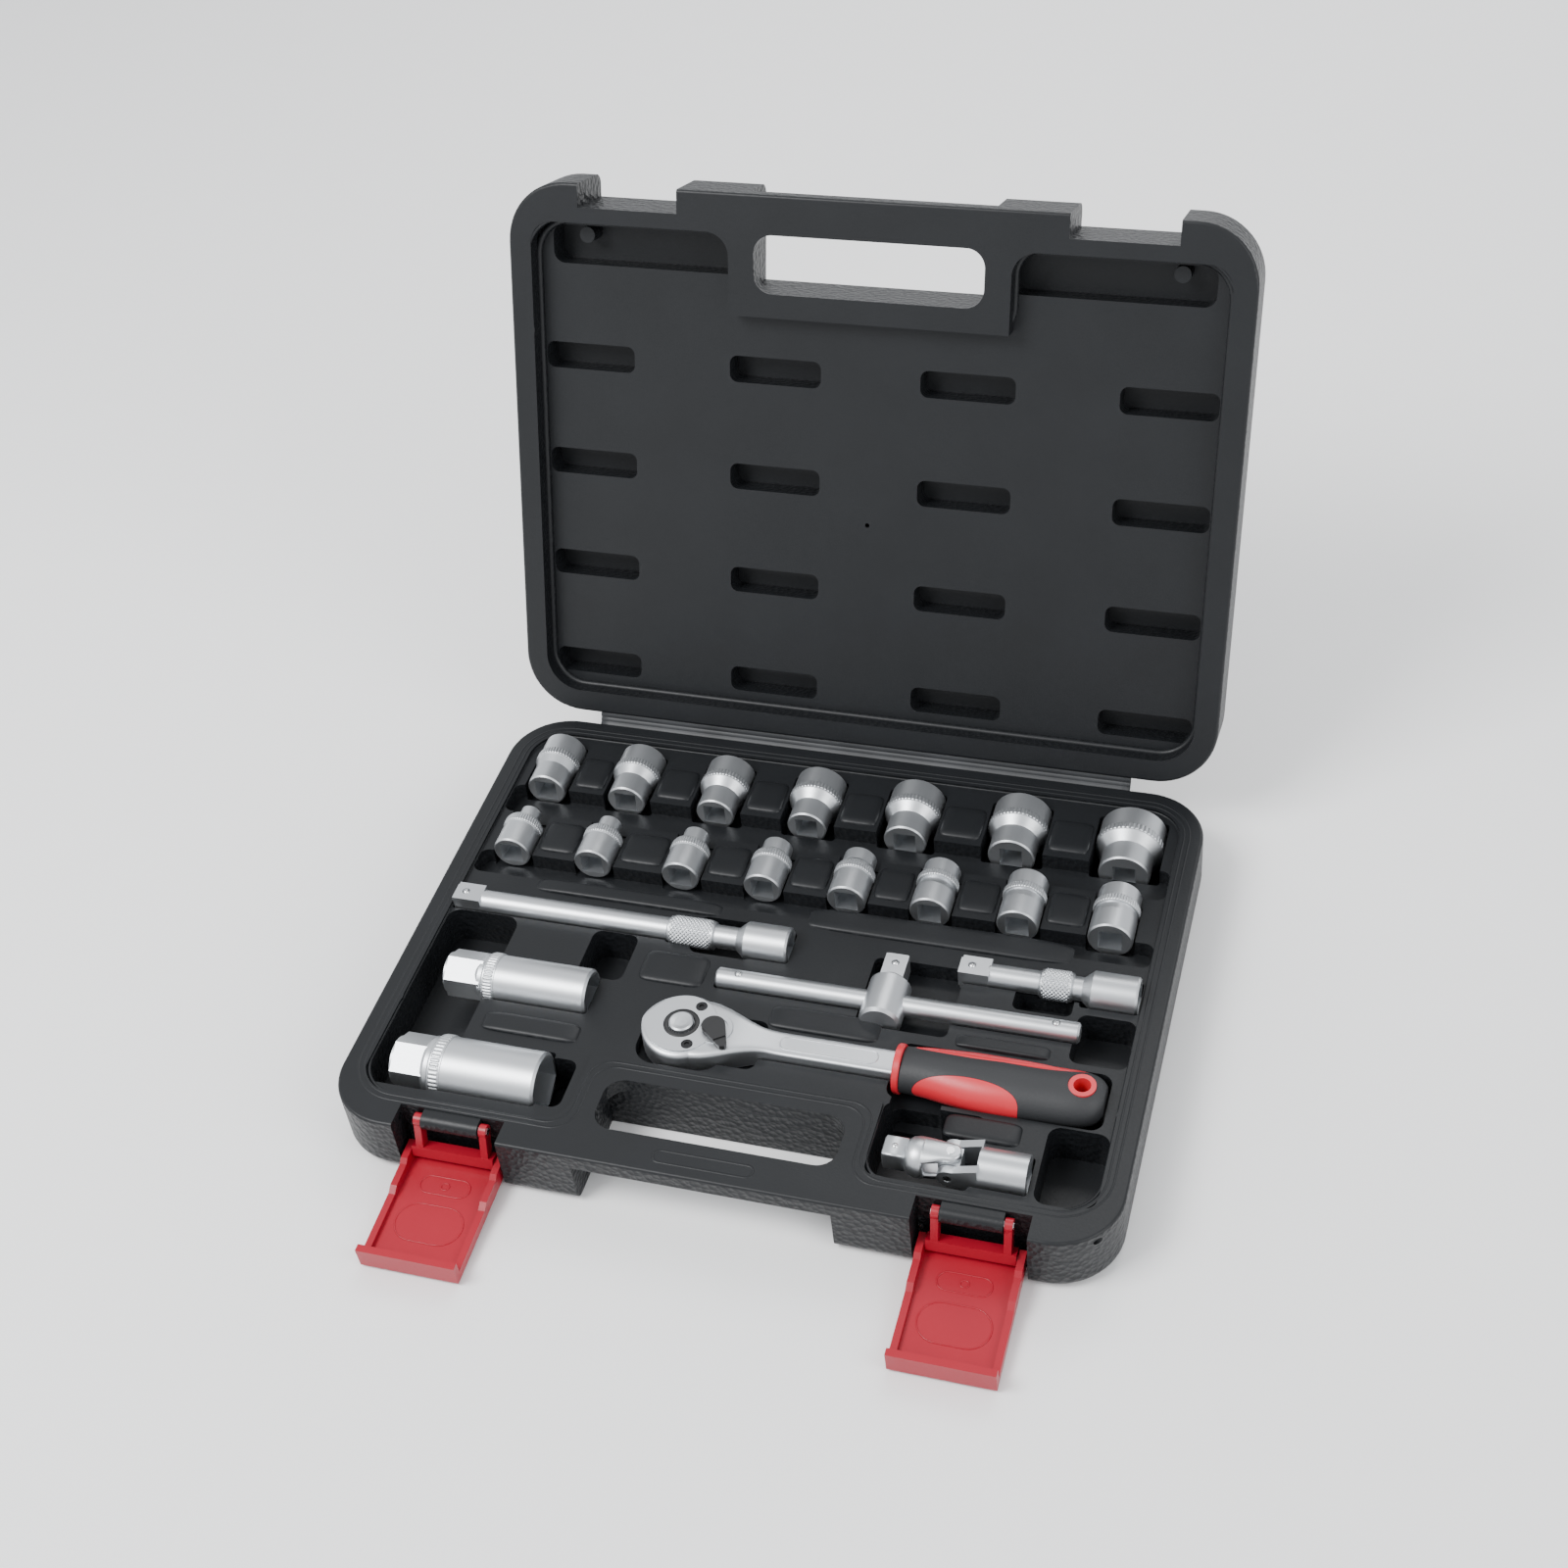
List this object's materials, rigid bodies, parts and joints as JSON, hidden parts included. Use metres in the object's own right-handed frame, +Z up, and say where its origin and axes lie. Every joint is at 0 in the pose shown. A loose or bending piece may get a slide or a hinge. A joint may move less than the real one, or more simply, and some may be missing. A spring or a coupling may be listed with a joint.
{
  "type": "socket wrench set in case",
  "caption": "Hinged blow-moulded carrying case holding chrome sockets, a ratchet, extensions, sliding T bar and universal joint, with red over-centre latches.",
  "frame": {"origin": "centre of the tray's flat bottom face", "axes": "+X right along the hinge, +Y from the handle towards the hinge, +Z up out of the tray"},
  "size_m": [0.317, 0.394, 0.2586],
  "materials": {
    "case_black": "grained blow-moulded plastic",
    "hinge_black": "stretched moulded plastic, pale along the fold",
    "pin_steel": "bright drawn steel",
    "latch_red": "satin red plastic",
    "socket_satin": "satin chrome",
    "insert_rubber": "black rubber",
    "tool_chrome": "satin chrome",
    "ball_steel": "polished steel",
    "screw_black": "black oxide",
    "lever_black": "black",
    "grip_black": "soft black grip",
    "grip_red": "red grip plastic"
  },
  "bodies": {
    "case": {"tray_shell": "case_black", "hinge_strip": "hinge_black", "latch_pins": "pin_steel"},
    "lid": {"lid_shell": "case_black"},
    "link_left": {"latch_link_left": "latch_red"},
    "lever_left": {"latch_lever_left": "latch_red"},
    "link_right": {"latch_link_right": "latch_red"},
    "lever_right": {"latch_lever_right": "latch_red"},
    "socket_06": {"socket_06": "socket_satin"},
    "socket_07": {"socket_07": "socket_satin"},
    "socket_08": {"socket_08": "socket_satin"},
    "socket_09": {"socket_09": "socket_satin"},
    "socket_10": {"socket_10": "socket_satin"},
    "socket_11": {"socket_11": "socket_satin"},
    "socket_12": {"socket_12": "socket_satin"},
    "socket_13": {"socket_13": "socket_satin"},
    "socket_14": {"socket_14": "socket_satin"},
    "socket_15": {"socket_15": "socket_satin"},
    "socket_16": {"socket_16": "socket_satin"},
    "socket_17": {"socket_17": "socket_satin"},
    "socket_18": {"socket_18": "socket_satin"},
    "socket_19": {"socket_19": "socket_satin"},
    "socket_22": {"socket_22": "socket_satin"},
    "plug_16": {"plug_socket_16": "socket_satin", "plug_insert_16": "insert_rubber"},
    "plug_21": {"plug_socket_21": "socket_satin", "plug_insert_21": "insert_rubber"},
    "long_extension": {"extension_150": "tool_chrome", "extension_150_ball": "ball_steel"},
    "short_extension": {"extension_75": "tool_chrome", "extension_75_ball": "ball_steel"},
    "t_bar": {"t_rod": "tool_chrome", "t_rod_balls": "ball_steel"},
    "t_slide_head": {"t_slider": "tool_chrome", "t_slider_ball": "ball_steel"},
    "ratchet": {"ratchet_body": "tool_chrome", "ratchet_cover": "tool_chrome", "ratchet_screws": "screw_black", "ratchet_grip": "grip_black", "grip_inserts": "grip_red", "hang_ring": "grip_red", "ratchet_collar": "grip_red"},
    "ratchet_drive": {"ratchet_anvil": "tool_chrome", "ratchet_ball": "ball_steel"},
    "release_button": {"ratchet_button": "tool_chrome"},
    "reverser": {"reversing_lever": "lever_black"},
    "universal_joint": {"joint_yoke": "tool_chrome"},
    "joint_cross": {"joint_block": "tool_chrome", "joint_pins": "pin_steel"},
    "joint_drive": {"joint_fork": "tool_chrome", "joint_ball": "ball_steel"}
  },
  "joints": [
    {"name": "lid_hinge", "type": "hinge", "parent": "case", "child": "lid", "pos_m": [0, 0.1225, 0.0297], "axis": [-1, 0, 0], "range_deg": [-109.4, 0], "deforming": ["hinge_strip"]},
    {"name": "link_left_swing", "type": "hinge", "parent": "case", "child": "link_left", "pos_m": [-0.1045, -0.112, 0.024], "axis": [-1, 0, 0], "range_deg": [-10, 1]},
    {"name": "lever_left_swing", "type": "hinge", "parent": "link_left", "child": "lever_left", "pos_m": [-0.1045, -0.1158, 0.00877], "axis": [1, 0, 0], "range_deg": [-103, 10]},
    {"name": "link_right_swing", "type": "hinge", "parent": "case", "child": "link_right", "pos_m": [0.1045, -0.112, 0.024], "axis": [-1, 0, 0], "range_deg": [-10, 1]},
    {"name": "lever_right_swing", "type": "hinge", "parent": "link_right", "child": "lever_right", "pos_m": [0.1045, -0.1158, 0.00877], "axis": [1, 0, 0], "range_deg": [-103, 10]},
    {"name": "socket_06_lift", "type": "slide", "parent": "case", "child": "socket_06", "axis": [0, 0, 1], "range_m": [0, 0.06]},
    {"name": "socket_07_lift", "type": "slide", "parent": "case", "child": "socket_07", "axis": [0, 0, 1], "range_m": [0, 0.06]},
    {"name": "socket_08_lift", "type": "slide", "parent": "case", "child": "socket_08", "axis": [0, 0, 1], "range_m": [0, 0.06]},
    {"name": "socket_09_lift", "type": "slide", "parent": "case", "child": "socket_09", "axis": [0, 0, 1], "range_m": [0, 0.06]},
    {"name": "socket_10_lift", "type": "slide", "parent": "case", "child": "socket_10", "axis": [0, 0, 1], "range_m": [0, 0.06]},
    {"name": "socket_11_lift", "type": "slide", "parent": "case", "child": "socket_11", "axis": [0, 0, 1], "range_m": [0, 0.06]},
    {"name": "socket_12_lift", "type": "slide", "parent": "case", "child": "socket_12", "axis": [0, 0, 1], "range_m": [0, 0.06]},
    {"name": "socket_13_lift", "type": "slide", "parent": "case", "child": "socket_13", "axis": [0, 0, 1], "range_m": [0, 0.06]},
    {"name": "socket_14_lift", "type": "slide", "parent": "case", "child": "socket_14", "axis": [0, 0, 1], "range_m": [0, 0.06]},
    {"name": "socket_15_lift", "type": "slide", "parent": "case", "child": "socket_15", "axis": [0, 0, 1], "range_m": [0, 0.06]},
    {"name": "socket_16_lift", "type": "slide", "parent": "case", "child": "socket_16", "axis": [0, 0, 1], "range_m": [0, 0.06]},
    {"name": "socket_17_lift", "type": "slide", "parent": "case", "child": "socket_17", "axis": [0, 0, 1], "range_m": [0, 0.06]},
    {"name": "socket_18_lift", "type": "slide", "parent": "case", "child": "socket_18", "axis": [0, 0, 1], "range_m": [0, 0.06]},
    {"name": "socket_19_lift", "type": "slide", "parent": "case", "child": "socket_19", "axis": [0, 0, 1], "range_m": [0, 0.06]},
    {"name": "socket_22_lift", "type": "slide", "parent": "case", "child": "socket_22", "axis": [0, 0, 1], "range_m": [0, 0.06]},
    {"name": "plug_16_lift", "type": "slide", "parent": "case", "child": "plug_16", "axis": [0, 0, 1], "range_m": [0, 0.06]},
    {"name": "plug_21_lift", "type": "slide", "parent": "case", "child": "plug_21", "axis": [0, 0, 1], "range_m": [0, 0.06]},
    {"name": "long_extension_lift", "type": "slide", "parent": "case", "child": "long_extension", "axis": [0, 0, 1], "range_m": [0, 0.06]},
    {"name": "short_extension_lift", "type": "slide", "parent": "case", "child": "short_extension", "axis": [0, 0, 1], "range_m": [0, 0.06]},
    {"name": "t_bar_lift", "type": "slide", "parent": "case", "child": "t_bar", "axis": [0, 0, 1], "range_m": [0, 0.06]},
    {"name": "ratchet_lift", "type": "slide", "parent": "case", "child": "ratchet", "axis": [0, 0, 1], "range_m": [0, 0.06]},
    {"name": "universal_joint_lift", "type": "slide", "parent": "case", "child": "universal_joint", "axis": [0, 0, 1], "range_m": [0, 0.06]},
    {"name": "t_head_slide", "type": "slide", "parent": "t_bar", "child": "t_slide_head", "axis": [1, 0, 0], "range_m": [-0.001, 0.018]},
    {"name": "ratchet_spin", "type": "hinge", "parent": "ratchet", "child": "ratchet_drive", "pos_m": [-0.0276, -0.0506, 0.0265], "axis": [0, 0, 1], "continuous": true},
    {"name": "button_press", "type": "slide", "parent": "ratchet", "child": "release_button", "axis": [0, 0, -1], "range_m": [0, 0.002], "stiffness_N_per_m": 300},
    {"name": "reverse_flip", "type": "hinge", "parent": "ratchet", "child": "reverser", "pos_m": [-0.014, -0.0506, 0.0265], "axis": [0, 0, 1], "range_deg": [0, 110]},
    {"name": "joint_tilt", "type": "hinge", "parent": "universal_joint", "child": "joint_cross", "pos_m": [0.0919, -0.091, 0.027], "axis": [0, 1, 0], "range_deg": [-25, 25]},
    {"name": "joint_swing", "type": "hinge", "parent": "joint_cross", "child": "joint_drive", "pos_m": [0.0919, -0.091, 0.027], "axis": [0, 0, 1], "range_deg": [-25, 15]}
  ],
  "couplings": [
    {"joint": "link_left_swing", "follows": "lever_left_swing", "ratio": 0.097},
    {"joint": "link_right_swing", "follows": "lever_right_swing", "ratio": 0.097}
  ]
}
